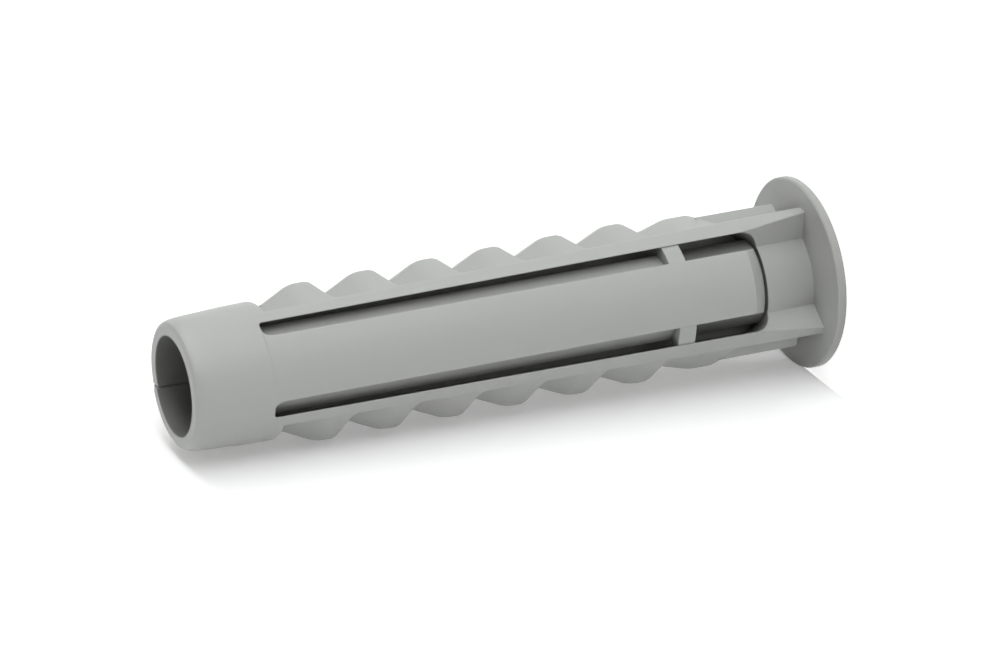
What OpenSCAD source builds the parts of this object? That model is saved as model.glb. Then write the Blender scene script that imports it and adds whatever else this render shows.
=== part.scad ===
// Nylon wall plug with a round collar, moulded as one piece.
// Millimetres. The plug is drawn along +X, tip at X = 0, with the two tongues facing -Y and +Y
// and the two rows of teeth along +Z and -Z. The last step stands it on its collar, tip up.

/* [Overall] */
// Length from the tip to the outer face of the collar
plug_len = 40; // [38:0.5:48]
// Diameter of the body just behind the tip sleeve
body_d = 8; // [7.8:0.05:8.1]
// Growth of the body's radius for each millimetre towards the collar
body_taper = 0.0154; // [0.012:0.0005:0.018]

/* [Tip sleeve] */
// Length of the closed sleeve, up to the foot of the first tooth
sleeve_len = 5.3; // [5:0.1:5.6]
// Largest diameter of the sleeve, near its rear edge
sleeve_d = 8; // [7.96:0.02:8.2]
// How much the sleeve's radius shrinks from its rear edge to the rounded nose
sleeve_draft = 0.12; // [0.05:0.01:0.15]
// How much the rounded nose takes off the radius
nose_drop = 0.43; // [0.3:0.01:0.5]
// Length of the rounded nose
nose_len = 2; // [1.5:0.1:2.5]
// Diameter of the bore in the tip
tip_bore_d = 5.8; // [5.4:0.1:6]
// Depth of the bore in the tip
tip_bore_len = 4.2; // [3.6:0.1:4.4]
// Width of the slit in the sleeve's rear wall
slit_w = 0.13; // [0.06:0.01:0.2]
// How far the slit leans over on its way out through the wall, in degrees
slit_lean = 22; // [10:1:35]
// How much further back the sleeve's end lies on one side of the slit
slit_step = 0.1; // [0.04:0.02:0.16]

/* [Collar] */
// Diameter of the collar
collar_d = 11.5; // [10.5:0.1:12.5]
// Thickness of the collar at its rim
collar_t = 0.55; // [0.4:0.05:0.8]
// Width of the flat ring on the collar's underside, which seats on the wall
seat_w = 1.05; // [0.8:0.05:1.2]
// Extra thickness of the collar inside that ring, at its centre
collar_dish = 0.12; // [0.06:0.02:0.3]
// Rounding of the collar's rim
rim_round = 0.1; // [0.05:0.01:0.18]

/* [Screw channel] */
// Diameter of the bore that the screw enters
screw_bore_d = 4; // [3.6:0.1:4.2]
// Depth of that bore from the collar's outer face
screw_bore_len = 6.4; // [5.5:0.1:7]
// Diameter of the lead-in at the collar's outer face
mouth_d = 5; // [4.6:0.1:5.4]
// Diameter of the narrow channel between the expanding parts
channel_d = 2; // [1.8:0.1:2.2]
// Length over which the bore narrows to the channel
channel_cone = 5.5; // [4:0.5:7]

/* [Tongues] */
// Distance from the tip to the near end of the slots
slot_start = 4.6; // [4.5:0.05:4.8]
// Width across both slots at their near end
slot_span_tip = 5.38; // [5.2:0.02:5.5]
// Width across both slots at their far end
slot_span_mouth = 5.9; // [5.7:0.02:6]
// Distance from the collar's outer face to the end of the tongue's window
window_back = 3.9; // [3.7:0.05:4.2]
// Corner radius of the window beside the tongue's free end
window_r = 1.2; // [0.8:0.05:1.4]
// Corner radius at the near end of the slots, away from the tongue
slot_r = 0.18; // [0.1:0.01:0.2]
// Width of the round at the near end of the slots, at the tongue's root
root_w = 0.42; // [0.3:0.02:0.44]
// Length of that round along the plug
root_len = 0.7; // [0.4:0.05:0.9]
// Width of the tongue at the surface
tongue_w = 3.76; // [3.5:0.02:3.9]
// Width of the foot that the tongue stands on
foot_w = 4.94; // [4.6:0.02:5.1]
// Depth at which the foot starts to stand out from the tongue's sides
foot_depth = 0.75; // [0.5:0.05:1]
// How much deeper the foot reaches its full width
foot_drop = 0.75; // [0.5:0.05:0.8]
// How much deeper the foot lies at the tongue's free end, past the bridges
foot_sink = 0.75; // [0.4:0.05:0.9]
// Half of the space between the two tongues
tongue_floor = 1; // [0.9:0.05:1.2]
// Gap under a tongue
tongue_gap = 0.2; // [0.15:0.01:0.3]
// Gap past the tongue's free end
tongue_end_gap = 0.16; // [0.1:0.02:0.4]
// Length of the bevel on the tongue's free end
bevel_len = 0.6; // [0.5:0.02:0.8]
// Depth of that bevel
bevel_drop = 0.44; // [0.3:0.02:0.6]
// Length of the steeper bevel below it
nib_len = 0.6; // [0.4:0.02:0.8]
// Depth of the steeper bevel
nib_drop = 0.85; // [0.7:0.05:1.2]
// Distance from the collar's outer face to the bridges that hold the tongue
bridge_back = 10.23; // [9.4:0.01:11]
// Width of a bridge along the plug
bridge_w = 1.07; // [0.8:0.01:1.3]
// How far a bridge lies below the body's surface
bridge_sink = 0.06; // [0.02:0.01:0.2]

/* [Neck] */
// Depth of the neck's floor below the body's surface at the collar
neck_depth = 1.86; // [1.6:0.02:1.9]
// Width of the neck's floor between the fins
neck_floor_w = 3.94; // [3.5:0.02:4.1]
// Radius of the neck's floor across the plug
neck_floor_r = 3.75; // [3.4:0.05:4.5]
// Slope of the neck's floor and of its fins, rising towards the tip, in degrees
neck_slope = 8.75; // [7:0.25:10]
// Slope of the fins' faces across the plug, in degrees
fin_slope = 28.4; // [24:0.2:32]

/* [Teeth] */
// Number of teeth in each row
tooth_count = 7; // [5:1:7]
// Distance from one tooth to the next
tooth_pitch = 3.97; // [3.9:0.01:4.04]
// Distance from the tip to the start of the first tooth
tooth_start = 6.03; // [5.95:0.01:6.1]
// Height of a tooth above the spine
tooth_h = 0.9; // [0.7:0.02:1]
// How much lower each tooth is than the one before it, above the spine
tooth_fade = 0.022; // [0:0.002:0.03]
// Height of the last tooth above the spine
last_tooth_h = 0.52; // [0.4:0.02:0.6]
// How much longer the last tooth's crest is
last_crest = 0.45; // [0.1:0.05:0.6]
// Length of a tooth's ramp
ramp_len = 1.85; // [1.7:0.05:2.1]
// Radius that rounds the ramp into the crest
crest_r = 2.4; // [2:0.1:2.8]
// Distance from the start of a tooth to the end of its crest
crest_end = 2.86; // [2.82:0.02:2.96]
// Length of the steep fall behind the crest
fall_len = 0.55; // [0.4:0.01:0.6]
// Radius at the foot of the fall
foot_r = 0.9; // [0.6:0.05:1]
// Width of a tooth's flat crest
crest_w = 0.42; // [0.3:0.02:0.5]
// Width of the spine that runs along a row of teeth
spine_w = 0.56; // [0.52:0.02:0.7]
// Distance from the axis to the top of the spine at the first tooth
spine_h = 3.64; // [3.6:0.01:3.7]
// Distance from the axis to the ledge under the teeth, at the first tooth
ledge_h = 3.25; // [3.15:0.01:3.35]

/* [Tail] */
// Distance from the axis to the top of the rib behind the last tooth
tail_h = 4.25; // [4.1:0.01:4.3]
// Width of that rib at its top
tail_w = 2; // [1.6:0.1:2.4]
// Slope of the rib's sides away from upright, in degrees
tail_draft = 32; // [20:1:40]
// Distance from the collar's outer face to the rib's rounded end
tail_back = 1.6; // [1.4:0.1:2.2]
// Rounding of the rib's end
tail_round = 0.15; // [0.1:0.05:0.5]

/* [Hidden] */
$fn = 96;

far = 9;
deep = 0.6;
ramp_lead = -1.2;
tongue_lead = 0.43;
tongue_sink = 0.02;
root_lap = 0.02;
slit_short = 0.1;
lap = 0.3;
spine_taper = 0.84;
neck_join = 0.7;
tooth_inset = 0.06;
bridge_floor = 2.5;
foot_inset = 0.3;
arc_steps = 6;

collar_face = plug_len - collar_t;
neck_x = collar_face - collar_dish * neck_join;
seat_r = collar_d / 2 - seat_w;
window_end = plug_len - window_back;
bridge_x = plug_len - bridge_back;
tongue_end = window_end - tongue_end_gap;
tooth_foot_y = sqrt(pow(body_r(tooth_start), 2) - pow(ledge_h, 2)) - tooth_inset;
last_tooth = tooth_count - 1;
teeth_end = tooth_x(last_tooth) + crest_end + last_crest;

function body_r(x) = body_d / 2 + body_taper * (x - sleeve_len);
function ledge_z(x) = ledge_h + body_taper * (x - tooth_start);
function spine_z(x) = spine_h + spine_taper * body_taper * (x - tooth_start);
function slot_half(x) =
    (slot_span_tip + (slot_span_mouth - slot_span_tip) * (x - slot_start) / (window_end - slot_start)) / 2;
function tooth_x(k) = tooth_start + k * tooth_pitch;
function tooth_top(k) =
    spine_z(tooth_x(k)) + (k == last_tooth ? last_tooth_h : tooth_h - k * tooth_fade);

// Points on an arc about c from angle a to angle b
function arc(c, r, a, b, steps = arc_steps) =
    [for (i = [0:steps]) let (t = a + (b - a) * i / steps) [c[0] + r * cos(t), c[1] + r * sin(t)]];

// A ramp that climbs by h over run and rounds into level ground at height 0, starting at x = lead
function ramp_points(h, run, r, lead) =
    let (slope = atan2(h, run), t = r * tan(slope / 2))
    concat([[lead, (lead - run) * tan(slope)]], arc([run + t, -r], r, 90 + slope, 90));

// Outline of the sleeve, as pairs of radius and distance from the tip
sleeve_r = sleeve_d / 2;
nose_r = sleeve_r - sleeve_draft;
sleeve_outline = [
    [nose_r - nose_drop, 0],
    [nose_r - nose_drop * 0.55, nose_len * 0.06],
    [nose_r - nose_drop * 0.32, nose_len * 0.17],
    [nose_r - nose_drop * 0.17, nose_len * 0.36],
    [nose_r - nose_drop * 0.05, nose_len * 0.7],
    [nose_r, nose_len],
    [sleeve_r - sleeve_draft * 0.3, (nose_len + sleeve_len) / 2],
    [sleeve_r, sleeve_len - 0.3],
    [sleeve_r - 0.02, sleeve_len - 0.1],
    [sleeve_r - 0.08, sleeve_len + 0.02],
    [spine_h, sleeve_len + 0.15],
    [spine_h - 0.2, sleeve_len + 0.33],
    [ledge_h + 0.03, sleeve_len + 0.65],
    [ledge_h - 0.04, sleeve_len + 1],
];

// Turns a drawing made along Z so that it runs along the plug
module along_x() {
    rotate([0, 90, 0]) children();
}

// Draws an end view along the plug: the drawing's x points to the back and its y is up
module end_view(length) {
    rotate([90, 0, 90]) linear_extrude(height = length) children();
}

// Cuts or keeps a side view: the drawing's x is along the plug and its y is up
module side_view(width) {
    rotate([90, 0, 0]) linear_extrude(height = width, center = true) children();
}

module front_and_back() {
    children();
    mirror([0, 1, 0]) children();
}

module above_and_below() {
    children();
    mirror([0, 0, 1]) children();
}

module sleeve() {
    along_x() rotate_extrude()
        polygon(concat([[0, 0]], sleeve_outline, [[0, sleeve_len + 1]]));
}

module body_cone(x0, x1, sink) {
    translate([x0, 0, 0]) along_x()
        cylinder(h = x1 - x0, r1 = body_r(x0) - sink, r2 = body_r(x1) - sink);
}

// The body between the two ledges that the teeth stand on
module trunk() {
    x0 = sleeve_len - lap;
    x1 = collar_face + collar_t / 2;
    intersection() {
        body_cone(x0, x1, 0);
        side_view(2 * far) polygon([
            [x0 - 1, ledge_z(x0 - 1)],
            [x1 + 1, ledge_z(x1 + 1)],
            [x1 + 1, -ledge_z(x1 + 1)],
            [x0 - 1, -ledge_z(x0 - 1)],
        ]);
    }
}

// The thin spine along a row of teeth, from the sleeve to the last tooth
module spine() {
    x0 = sleeve_len - lap;
    x1 = teeth_end;
    side_view(spine_w) polygon([
        [x0, ledge_h - deep],
        [x0, spine_z(x0)],
        [x1, spine_z(x1)],
        [x1, ledge_h - deep],
    ]);
}

// The rib behind the last tooth, with sloping sides and a rounded end short of the collar
module tail() {
    x0 = teeth_end + lap / 2;
    x1 = plug_len - tail_back;
    foot = tail_w / 2 + (tail_h - ledge_h + deep) * tan(tail_draft);
    head = tail_w / 2 - tan(tail_draft);
    intersection() {
        side_view(2 * foot + 1) polygon(concat(
            [[x0, ledge_h - deep], [x0, tail_h]],
            arc([x1 - tail_round, tail_h - tail_round], tail_round, 90, 0),
            [[x1, ledge_h - deep]]
        ));
        translate([x0 - 1, 0, 0]) end_view(x1 - x0 + 2) polygon([
            [-foot, ledge_h - deep],
            [-head, tail_h + 1],
            [head, tail_h + 1],
            [foot, ledge_h - deep],
        ]);
    }
}

// Side view of a tooth that starts at x = 0: ramp, crest, steep fall and rounded foot
module tooth_side(top, base, ledge, lean, end) {
    rise = top - base;
    fall_slope = atan2(rise, fall_len);
    foot_x = end + (top - ledge) / tan(fall_slope);
    foot_t = foot_r * tan(fall_slope / 2);
    polygon(concat(
        [[ramp_lead, ledge - deep]],
        [for (p = ramp_points(rise * lean, ramp_len, crest_r, ramp_lead)) [p[0], top + p[1] / lean]],
        [[end - 0.15, top], [end + 0.1, top - 0.1]],
        arc([foot_x + foot_t, ledge - 0.02 + foot_r], foot_r, 270 - fall_slope, 270),
        [[foot_x + foot_t, ledge - deep]]
    ));
}

// Half-space under the facet and the roof of a tooth's front, which lean in to the spine
module tooth_face(top, base, ledge, slope, lean) {
    translate([0, -crest_w / 2, top]) rotate([90 + slope, 0, 0])
        linear_extrude(height = 2 * far, center = true)
            polygon(concat(
                [[2 * ramp_lead, -far]],
                ramp_points((top - base) * lean, ramp_len, crest_r, 2 * ramp_lead),
                [[far, 0], [far, -far]]
            ));
}

module tooth(k) {
    x = tooth_x(k);
    top = tooth_top(k);
    base = spine_z(x);
    ledge = ledge_z(x);
    slope = atan2(top - ledge, tooth_foot_y - crest_w / 2);
    lean = cos(slope);
    end = crest_end + (k == last_tooth ? last_crest : 0);
    translate([x, 0, 0]) intersection() {
        side_view(2 * tooth_foot_y) tooth_side(top, base, ledge, lean, end);
        tooth_face(top, base, ledge, slope, lean);
        mirror([0, 1, 0]) tooth_face(top, base, ledge, slope, lean);
    }
}

// Outline of the window that holds a tongue, seen from the front
module window_outline() {
    near = slot_half(slot_start);
    back = slot_half(window_end - window_r);
    upper = concat(
        arc([slot_start + slot_r, near - slot_r], slot_r, 180, 90),
        arc([window_end - window_r, back - window_r], window_r, 90, 0)
    );
    polygon(concat(upper, [for (i = [len(upper) - 1:-1:0]) [upper[i][0], -upper[i][1]]]));
}

module window() {
    depth = tongue_floor - tongue_gap;
    translate([0, -depth - far / 2, 0]) side_view(far) window_outline();
}

// The neck's rounded floor and the two sloping faces of its fins, cut from the front
module neck_cut() {
    floor_y = neck_depth - body_r(collar_face);
    half = neck_floor_w / 2;
    half_angle = asin(half / neck_floor_r);
    centre_y = floor_y + neck_floor_r;
    edge_y = centre_y - neck_floor_r * cos(half_angle);
    fin_y = edge_y - (far - half) * tan(fin_slope);
    reach = window_back + 2 * window_r;
    translate([neck_x, 0, 0]) rotate([0, 0, neck_slope]) translate([-reach, 0, 0])
        end_view(reach + collar_t) polygon(concat(
            [[-2 * far, far], [fin_y, far]],
            arc([centre_y, 0], neck_floor_r, 180 - half_angle, 180 + half_angle, 2 * arc_steps),
            [[fin_y, -far], [-2 * far, -far]]
        ));
}

// End view of the tongue's foot, whose sloping shoulders start at a depth below the tongue's edges
module foot_outline(depth) {
    half = tongue_w / 2;
    out = foot_w / 2;
    edge_y = sqrt(pow(body_r(slot_start), 2) - pow(half, 2));
    low_y = edge_y - depth - foot_drop;
    high_y = edge_y - depth + foot_inset * foot_drop / (out - half);
    polygon([
        [0, -out],
        [-low_y, -out],
        [-high_y, foot_inset - half],
        [-high_y, half - foot_inset],
        [-low_y, out],
        [0, out],
    ]);
}

// Runs an end view along the tongue, parallel to the body's surface, up to a distance from the tip
module along_tongue(x1) {
    translate([slot_start, 0, 0]) rotate([0, 0, -atan(body_taper)]) translate([-1, 0, 0])
        end_view(x1 - slot_start + 1) children();
}

// A tongue: upright sides on a wider foot, flush with the body, bevelled twice at its free end
module tongue() {
    x0 = slot_start - tongue_lead;
    nib_x = tongue_end - nib_len;
    bevel_x = nib_x - bevel_len;
    top_r = body_r(bevel_x) - tongue_sink;
    half = tongue_w / 2;
    intersection() {
        along_x() rotate_extrude() polygon([
            [0, x0],
            [body_r(x0) - tongue_sink, x0],
            [top_r, bevel_x],
            [top_r - bevel_drop, nib_x],
            [top_r - bevel_drop - nib_drop, tongue_end],
            [0, tongue_end],
        ]);
        union() {
            along_tongue(plug_len) polygon([[0, -half], [-far, -half], [-far, half], [0, half]]);
            along_tongue(bridge_x + bridge_w / 2) foot_outline(foot_depth);
            along_tongue(plug_len + 1) foot_outline(foot_depth + foot_sink);
        }
        translate([0, -tongue_floor - far, -far]) cube([plug_len, far, 2 * far]);
    }
}

// The rounds between a tongue and the near end of its slots
module tongue_root() {
    half = tongue_w / 2;
    x = slot_start - root_lap;
    intersection() {
        body_cone(x - lap, x + root_len + lap / 3, tongue_sink + root_lap / 2);
        translate([0, -tongue_floor - far / 2, 0]) side_view(far) above_and_below_2d() polygon(concat(
            [[x - lap / 2, half - lap], [x - lap / 2, half + root_w]],
            [for (p = arc([1, 1], 1, 180, 270)) [x + root_len * p[0], half + root_w * p[1]]],
            [[x + root_len, half - lap]]
        ));
    }
}

module above_and_below_2d() {
    children();
    mirror([0, 1]) children();
}

// The two bridges that hold a tongue's free end until a screw spreads it
module bridges() {
    reach = slot_half(bridge_x) + lap / 2;
    intersection() {
        body_cone(bridge_x, bridge_x + bridge_w, bridge_sink);
        translate([bridge_x - 1, -far, -reach]) cube([bridge_w + 2, far - bridge_floor, 2 * reach]);
    }
}

module collar() {
    r = collar_d / 2;
    along_x() rotate_extrude() polygon([
        [0, collar_face - collar_dish],
        [seat_r, collar_face],
        [r - rim_round, collar_face],
        [r, collar_face + rim_round],
        [r, plug_len - rim_round],
        [r - rim_round, plug_len],
        [0, plug_len],
    ]);
}

// The bore in the tip, the narrow channel and the bore that the screw enters
module bores() {
    cone_x = plug_len - screw_bore_len;
    tip_r = tip_bore_d / 2;
    screw_r = screw_bore_d / 2;
    narrow_r = channel_d / 2;
    mouth_r = mouth_d / 2;
    along_x() rotate_extrude() polygon([
        [0, -1],
        [tip_r, -1],
        [tip_r, tip_bore_len],
        [narrow_r, tip_bore_len + tip_r - narrow_r],
        [narrow_r, cone_x - channel_cone],
        [screw_r, cone_x],
        [screw_r, plug_len - mouth_r + screw_r],
        [mouth_r + 1, plug_len + 1],
        [0, plug_len + 1],
    ]);
}

// The slit in the rear wall of the sleeve
module slit() {
    length = tip_bore_len - slit_short + 1;
    translate([-1, tip_bore_d / 2, 0]) rotate([slit_lean, 0, 0]) translate([0, -lap, -slit_w / 2])
        cube([length, far, slit_w]);
}

// Takes the sleeve's end back on one side of the slit, in a wedge that fades out round the bore
module ring_step() {
    reach = nose_r - nose_drop - lap / 3;
    translate([slit_step, 0, 0]) rotate([0, -atan(slit_step / reach), 0])
        translate([-2, 0, 0]) cube([2, far, far]);
}

module plug() {
    difference() {
        union() {
            difference() {
                union() {
                    sleeve();
                    trunk();
                    above_and_below() {
                        spine();
                        tail();
                        for (k = [0:last_tooth]) tooth(k);
                    }
                }
                front_and_back() {
                    window();
                    neck_cut();
                }
            }
            front_and_back() {
                tongue();
                tongue_root();
                bridges();
            }
            collar();
        }
        bores();
        slit();
        ring_step();
    }
}

// Laid down, the round plug rolls, so it stands on the collar's outer face with its tip up
module wall_plug() {
    color([0.66, 0.67, 0.67]) translate([0, 0, plug_len]) rotate([0, 90, 0]) plug();
}

wall_plug();
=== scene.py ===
"""A grey nylon wall plug standing on its collar, under soft studio light.

Metres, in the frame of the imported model: Z runs from the collar to the tip, and one tongue faces -Y.
The plug is one moulding, so it is one piece: a merged copy of the CAD solid with smooth curved faces,
crisp edges and a satin nylon surface.

Laid on a table the plug would roll, so it stands. The picture is still taken as if it lay on a white
sheet: a sheet stands beside it, touching its collar and just clear of its sleeve, and the
camera is turned with it.
"""

import math

import bpy
import numpy as np
from mathutils import Matrix, Vector


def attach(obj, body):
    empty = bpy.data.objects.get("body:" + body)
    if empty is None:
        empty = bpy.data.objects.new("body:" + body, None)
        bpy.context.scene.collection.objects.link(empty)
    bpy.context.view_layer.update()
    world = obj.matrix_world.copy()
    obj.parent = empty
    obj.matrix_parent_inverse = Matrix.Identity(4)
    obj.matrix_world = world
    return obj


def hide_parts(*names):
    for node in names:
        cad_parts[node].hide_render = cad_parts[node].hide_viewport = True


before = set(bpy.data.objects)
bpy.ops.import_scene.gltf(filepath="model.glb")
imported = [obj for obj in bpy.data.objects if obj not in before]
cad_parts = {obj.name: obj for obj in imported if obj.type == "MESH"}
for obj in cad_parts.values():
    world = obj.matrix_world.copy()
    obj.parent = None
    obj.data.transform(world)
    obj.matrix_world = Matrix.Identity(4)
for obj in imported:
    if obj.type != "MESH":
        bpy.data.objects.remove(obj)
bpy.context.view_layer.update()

# Sizes shared by several parts of the script
MM = 0.001
PLUG_LEN = 40 * MM
COLLAR_R = 5.75 * MM
COLLAR_TOP = 0.45 * MM
SLEEVE_R = 4 * MM
SLEEVE_EDGE = 35 * MM
TIP_BORE_R = 2.9 * MM

# Step to which the corners of the CAD mesh are rounded, so that doubled ones merge
MERGE_STEP = 1e-7

# Finish of the nylon
NYLON_GREY = (0.43, 0.44, 0.433)
NYLON_WARM = (0.445, 0.443, 0.428)
NYLON_ROUGHNESS = 0.42
NYLON_IOR = 1.5
NYLON_DEPTH = 0.25
NYLON_REACH = 0.4 * MM
NYLON_SPREAD = (1.0, 0.95, 0.9)
FLOW_SCALE = 90.0
FLOW_DETAIL = 2.0
SWELL_SCALE = 420.0
SWELL_DETAIL = 1.0
SWELL_DEPTH = 0.03 * MM
SWELL_STRENGTH = 0.25
GRAIN_SCALE = 3200.0
GRAIN_DETAIL = 2.0
GRAIN_DEPTH = 0.006 * MM
GRAIN_STRENGTH = 0.12
# Painted shade: the nylon's colour is darkened in its hollows, where an ambient occlusion reading finds
# its own surfaces close round, and on the tip bore's wall
HOLLOW_REACH = 14 * MM
HOLLOW_OPEN = 0.42
HOLLOW_PAINTED_SHADE = 0.36
HOLLOW_SAMPLES = 8
BORE_PAINTED_SHADE = 0.45
BORE_FADE = 0.1 * MM
BORE_END_FADE = 1 * MM
# Rounded edges and sharp corners of the moulding
EDGE_ROUND = 0.1 * MM
EDGE_SAMPLES = 6
SHARP_ANGLE = math.radians(24)

# Camera, as it stood to the plug in the photograph
CAMERA_PLACE = (5.544 * MM, -256.148 * MM, 126.606 * MM)
CAMERA_RIGHT = (-0.17211, -0.38249, -0.90779)
CAMERA_DOWN = (-0.98485, 0.04689, 0.16696)
CAMERA_LENS = 172.572
CAMERA_SENSOR = 36
CAMERA_NEAR = 0.01

# The sheet stands against the collar and leans towards the sleeve, which it just clears
SHEET_TURN = math.radians(-25.07)
SLEEVE_GAP = 0.6 * MM
SHEET_LEAN = math.asin((COLLAR_R - SLEEVE_R - SLEEVE_GAP) / (SLEEVE_EDGE - COLLAR_TOP))
SHEET_GAP = 0.02 * MM
SHEET_SIZE = (400 * MM, 300 * MM)
FLOOR_SIZE = 3.0
FLOOR_PALE = 0.85
FLOOR_GLOW = 0.67
SHEET_PALE = 0.88
SHEET_GLOW = 0.25

# Light
LAMP_AWAY = 0.6
LAMP_COLOUR = (0.97, 1.0, 1.0)
HIGH_ANGLE = math.radians(105)
HIGH_SIZE = 0.45
HIGH_POWER = 2.65
FRONT_ANGLE = math.radians(65)
FRONT_SIZE = 0.4
FRONT_POWER = 2.3
ROOM_LIGHT = 0.37
ROOM_COLOUR = (1.0, 0.99, 0.96)


def shader_node(tree, kind, x, y, **values):
    """Adds a shader node at x, y and sets its named inputs."""
    node = tree.nodes.new(kind)
    node.location = (x, y)
    for name, value in values.items():
        node.inputs[name.replace("_", " ")].default_value = value
    return node


def sheet_frame():
    """The sheet's own directions: its normal towards the plug, its way across and its way up."""
    flat = Vector((math.cos(SHEET_TURN), math.sin(SHEET_TURN), 0))
    normal = math.cos(SHEET_LEAN) * flat - math.sin(SHEET_LEAN) * Vector((0, 0, 1))
    across = Vector((0, 0, 1)).cross(flat)
    return normal, across, normal.cross(across)


def merged_copy(node, name):
    """A copy of a CAD node's mesh, with its doubled corners merged so that its faces share them."""
    mesh = node.data
    corners = np.empty(len(mesh.vertices) * 3, np.float32)
    mesh.vertices.foreach_get("co", corners)
    loops = np.empty(len(mesh.loops), np.int32)
    mesh.loops.foreach_get("vertex_index", loops)
    steps = np.round(corners.reshape(-1, 3) / MERGE_STEP).astype(np.int64)
    places, index = np.unique(steps, axis=0, return_inverse=True)
    faces = index.reshape(-1)[loops].reshape(-1, 3)
    kept = (faces[:, 0] != faces[:, 1]) & (faces[:, 1] != faces[:, 2]) & (faces[:, 0] != faces[:, 2])
    copy = bpy.data.meshes.new(name)
    copy.from_pydata((places * MERGE_STEP).tolist(), [], faces[kept].tolist())
    copy.update()
    return copy


def moulding(nylon):
    """The whole plug: the CAD solid, smooth where it curves and sharp where faces meet at an angle."""
    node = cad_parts["wall_plug"]
    mesh = merged_copy(node, "plug_moulding")
    mesh.shade_smooth()
    mesh.set_sharp_from_angle(angle=SHARP_ANGLE)
    mesh.materials.append(nylon)
    piece = bpy.data.objects.new("plug_moulding", mesh)
    bpy.context.scene.collection.objects.link(piece)
    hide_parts("wall_plug")
    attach(piece, "root")
    return piece


def math_node(tree, operation, x, y, *links):
    """Adds a math node at x, y, feeds it from the given sockets in their order and gives its output."""
    node = shader_node(tree, "ShaderNodeMath", x, y)
    node.operation = operation
    for index, socket in enumerate(links):
        tree.links.new(socket, node.inputs[index])
    return node.outputs["Value"]


def colour_mix(tree, blend, x, y):
    """Adds a node at x, y that blends two colours."""
    node = shader_node(tree, "ShaderNodeMix", x, y)
    node.data_type = "RGBA"
    node.blend_type = blend
    return node


def noise(tree, place, x, y, scale, detail):
    """Adds a noise pattern at x, y that is fixed to the plug, and gives its output."""
    node = shader_node(tree, "ShaderNodeTexNoise", x, y, Scale=scale, Detail=detail)
    tree.links.new(place, node.inputs["Vector"])
    return node.outputs["Fac"]


def painted_bore_shade(tree, place):
    """Painted shade for the wall of the tip's bore, which little light reaches: a factor under one there,
    one elsewhere.
    """
    flat = shader_node(tree, "ShaderNodeMapping", -1300, 900, Scale=(1, 1, 0))
    reach = shader_node(tree, "ShaderNodeVectorMath", -1100, 900)
    reach.operation = "LENGTH"
    along = shader_node(tree, "ShaderNodeSeparateXYZ", -1100, 750)
    wall = shader_node(tree, "ShaderNodeMapRange", -900, 950, From_Max=TIP_BORE_R)
    wall.inputs["From Min"].default_value = TIP_BORE_R + BORE_FADE
    sleeve = shader_node(tree, "ShaderNodeMapRange", -900, 750, From_Min=SLEEVE_EDGE - BORE_END_FADE)
    sleeve.inputs["From Max"].default_value = SLEEVE_EDGE + BORE_END_FADE
    shade = shader_node(tree, "ShaderNodeMapRange", -500, 850, To_Min=1.0, To_Max=BORE_PAINTED_SHADE)
    tree.links.new(place, flat.inputs["Vector"])
    tree.links.new(flat.outputs["Vector"], reach.inputs[0])
    tree.links.new(place, along.inputs["Vector"])
    tree.links.new(reach.outputs["Value"], wall.inputs["Value"])
    tree.links.new(along.outputs["Z"], sleeve.inputs["Value"])
    both = math_node(tree, "MULTIPLY", -700, 850, wall.outputs["Result"], sleeve.outputs["Result"])
    tree.links.new(both, shade.inputs["Value"])
    return shade.outputs["Result"]


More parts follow.
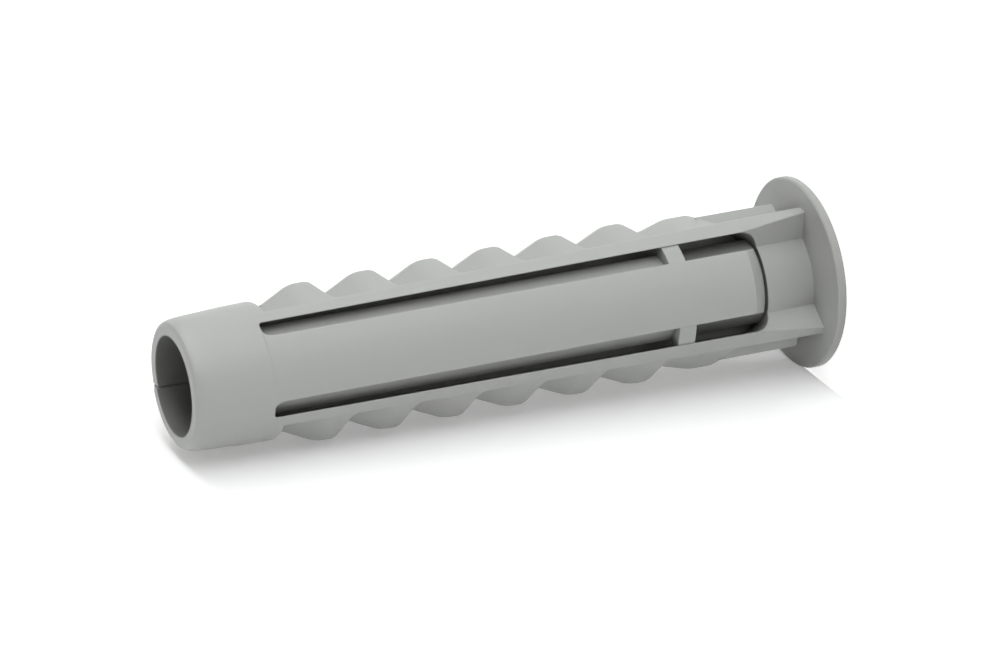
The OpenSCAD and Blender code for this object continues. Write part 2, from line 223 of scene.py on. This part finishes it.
def nylon_material():
    """Satin grey nylon, slightly translucent, with a faint flow, a fine grain and painted shade in its
    hollows and tip bore.
    """
    material = bpy.data.materials.new("grey_nylon")
    material.use_nodes = True
    tree = material.node_tree
    surface = tree.nodes["Principled BSDF"]
    surface.inputs["Roughness"].default_value = NYLON_ROUGHNESS
    surface.inputs["IOR"].default_value = NYLON_IOR
    surface.inputs["Subsurface Weight"].default_value = NYLON_DEPTH
    surface.inputs["Subsurface Radius"].default_value = NYLON_SPREAD
    surface.inputs["Subsurface Scale"].default_value = NYLON_REACH

    place = shader_node(tree, "ShaderNodeTexCoord", -1500, 0).outputs["Object"]
    flow = noise(tree, place, -1100, 200, FLOW_SCALE, FLOW_DETAIL)
    tint = colour_mix(tree, "MIX", -700, 250)
    tint.inputs["A"].default_value = (*NYLON_GREY, 1)
    tint.inputs["B"].default_value = (*NYLON_WARM, 1)
    tree.links.new(flow, tint.inputs["Factor"])

    # Painted shade in the hollows: the ambient occlusion reading darkens the base colour there, together
    # with the painted shade on the tip bore's wall
    hollow = shader_node(tree, "ShaderNodeAmbientOcclusion", -900, 550, Distance=HOLLOW_REACH)
    hollow.samples = HOLLOW_SAMPLES
    hollow.only_local = True
    painted_hollow_shade = shader_node(tree, "ShaderNodeMapRange", -700, 550, From_Max=HOLLOW_OPEN, To_Min=HOLLOW_PAINTED_SHADE)
    shade = colour_mix(tree, "MULTIPLY", -400, 350)
    shade.inputs["Factor"].default_value = 1.0
    tree.links.new(hollow.outputs["AO"], painted_hollow_shade.inputs["Value"])
    tree.links.new(tint.outputs["Result"], shade.inputs["A"])
    both = math_node(tree, "MULTIPLY", -500, 650, painted_hollow_shade.outputs["Result"], painted_bore_shade(tree, place))
    tree.links.new(both, shade.inputs["B"])
    tree.links.new(shade.outputs["Result"], surface.inputs["Base Color"])

    edge = shader_node(tree, "ShaderNodeBevel", -700, -350, Radius=EDGE_ROUND)
    edge.samples = EDGE_SAMPLES
    swell = noise(tree, place, -1100, -100, SWELL_SCALE, SWELL_DETAIL)
    grain = noise(tree, place, -1100, -350, GRAIN_SCALE, GRAIN_DETAIL)
    soft = shader_node(tree, "ShaderNodeBump", -450, -200, Strength=SWELL_STRENGTH, Distance=SWELL_DEPTH)
    fine = shader_node(tree, "ShaderNodeBump", -250, -200, Strength=GRAIN_STRENGTH, Distance=GRAIN_DEPTH)
    tree.links.new(swell, soft.inputs["Height"])
    tree.links.new(edge.outputs["Normal"], soft.inputs["Normal"])
    tree.links.new(grain, fine.inputs["Height"])
    tree.links.new(soft.outputs["Normal"], fine.inputs["Normal"])
    tree.links.new(fine.outputs["Normal"], surface.inputs["Normal"])
    return material


def pale_material(name, pale, glow):
    """Matte white that keeps the plug's shadow, with a share of plain white in what the camera sees."""
    material = bpy.data.materials.new(name)
    material.use_nodes = True
    tree = material.node_tree
    tree.nodes.remove(tree.nodes["Principled BSDF"])
    out = tree.nodes["Material Output"]
    matte = shader_node(tree, "ShaderNodeBsdfDiffuse", -400, 200, Color=(pale, pale, pale, 1))
    white = shader_node(tree, "ShaderNodeEmission", -400, 0, Color=(1, 1, 1, 1))
    path = shader_node(tree, "ShaderNodeLightPath", -900, 0)
    rays = path.outputs
    sight = math_node(tree, "MAXIMUM", -720, -50, rays["Is Camera Ray"], rays["Is Glossy Ray"])
    seen = math_node(tree, "MAXIMUM", -620, -100, sight, rays["Is Transmission Ray"])
    share = math_node(tree, "MULTIPLY", -520, -100, seen)
    share.node.inputs[1].default_value = glow
    both = shader_node(tree, "ShaderNodeAddShader", -200, 100)
    tree.links.new(share, white.inputs["Strength"])
    tree.links.new(matte.outputs["BSDF"], both.inputs[0])
    tree.links.new(white.outputs["Emission"], both.inputs[1])
    tree.links.new(both.outputs["Shader"], out.inputs["Surface"])
    return material


def pale_panel(name, middle, across, up, size, pale, glow):
    """A flat rectangle about a point, with its front where across turns into up. It is stage."""
    a, b = across * size[0] / 2, up * size[1] / 2
    corners = [middle - a - b, middle + a - b, middle + a + b, middle - a + b]
    mesh = bpy.data.meshes.new(name)
    mesh.from_pydata([tuple(c) for c in corners], [], [(0, 1, 2, 3)])
    mesh.materials.append(pale_material(name, pale, glow))
    panel = bpy.data.objects.new(name, mesh)
    bpy.context.scene.collection.objects.link(panel)
    return panel


def open_at_the_back(material):
    """Makes a panel's back see-through to light and sight, so that it hides nothing from behind."""
    tree = material.node_tree
    out = tree.nodes["Material Output"]
    front = out.inputs["Surface"].links[0].from_socket
    side = shader_node(tree, "ShaderNodeNewGeometry", -200, -150)
    clear = shader_node(tree, "ShaderNodeBsdfTransparent", 0, -100)
    pick = shader_node(tree, "ShaderNodeMixShader", 200, 0)
    out.location = (400, 0)
    tree.links.new(side.outputs["Backfacing"], pick.inputs["Fac"])
    tree.links.new(front, pick.inputs[1])
    tree.links.new(clear.outputs["BSDF"], pick.inputs[2])
    tree.links.new(pick.outputs["Shader"], out.inputs["Surface"])


def floor_and_sheet():
    """A floor under the collar, and the white sheet that the camera sees behind the plug."""
    square = (FLOOR_SIZE, FLOOR_SIZE)
    east, north = Vector((1, 0, 0)), Vector((0, 1, 0))
    pale_panel("floor", Vector(), east, north, square, FLOOR_PALE, FLOOR_GLOW)
    normal, across, up = sheet_frame()
    foot = -normal * (COLLAR_R + SHEET_GAP)
    middle = foot + up * SHEET_SIZE[1] / 2
    sheet = pale_panel("sheet", middle, across, up, SHEET_SIZE, SHEET_PALE, SHEET_GLOW)
    open_at_the_back(sheet.data.materials[0])


def area_lamp(name, angle, size, power):
    """A square soft lamp that faces the plug's middle, turned by an angle from the camera's side."""
    normal, across, up = sheet_frame()
    middle = Vector((0, 0, PLUG_LEN / 2))
    place = middle + LAMP_AWAY * (math.sin(angle) * normal - math.cos(angle) * across)
    light = bpy.data.lights.new(name, "AREA")
    light.shape = "SQUARE"
    light.size = size
    light.energy = power
    light.color = LAMP_COLOUR
    lamp = bpy.data.objects.new(name, light)
    lamp.location = place
    lamp.rotation_euler = (middle - place).to_track_quat("-Z", "Y").to_euler()
    bpy.context.scene.collection.objects.link(lamp)


def lights():
    """A lamp over the plug, one between it and the camera, and an even, weaker fill from all round."""
    area_lamp("high_lamp", HIGH_ANGLE, HIGH_SIZE, HIGH_POWER)
    area_lamp("front_lamp", FRONT_ANGLE, FRONT_SIZE, FRONT_POWER)
    world = bpy.data.worlds.new("studio")
    world.use_nodes = True
    room = world.node_tree.nodes["Background"]
    room.inputs["Color"].default_value = (*ROOM_COLOUR, 1)
    room.inputs["Strength"].default_value = ROOM_LIGHT
    bpy.context.scene.world = world


def camera():
    """Stands where the photograph was taken from, with its lens."""
    data = bpy.data.cameras.new("camera")
    data.lens = CAMERA_LENS
    data.sensor_width = CAMERA_SENSOR
    data.clip_start = CAMERA_NEAR
    eye = bpy.data.objects.new("camera", data)
    right = Vector(CAMERA_RIGHT).normalized()
    down = Vector(CAMERA_DOWN)
    up = -(down - down.dot(right) * right).normalized()
    turn = Matrix((right, up, right.cross(up))).transposed()
    eye.matrix_world = Matrix.Translation(CAMERA_PLACE) @ turn.to_4x4()
    bpy.context.scene.collection.objects.link(eye)
    bpy.context.scene.camera = eye


moulding(nylon_material())
floor_and_sheet()
lights()
camera()
bpy.context.scene.view_settings.view_transform = "Standard"
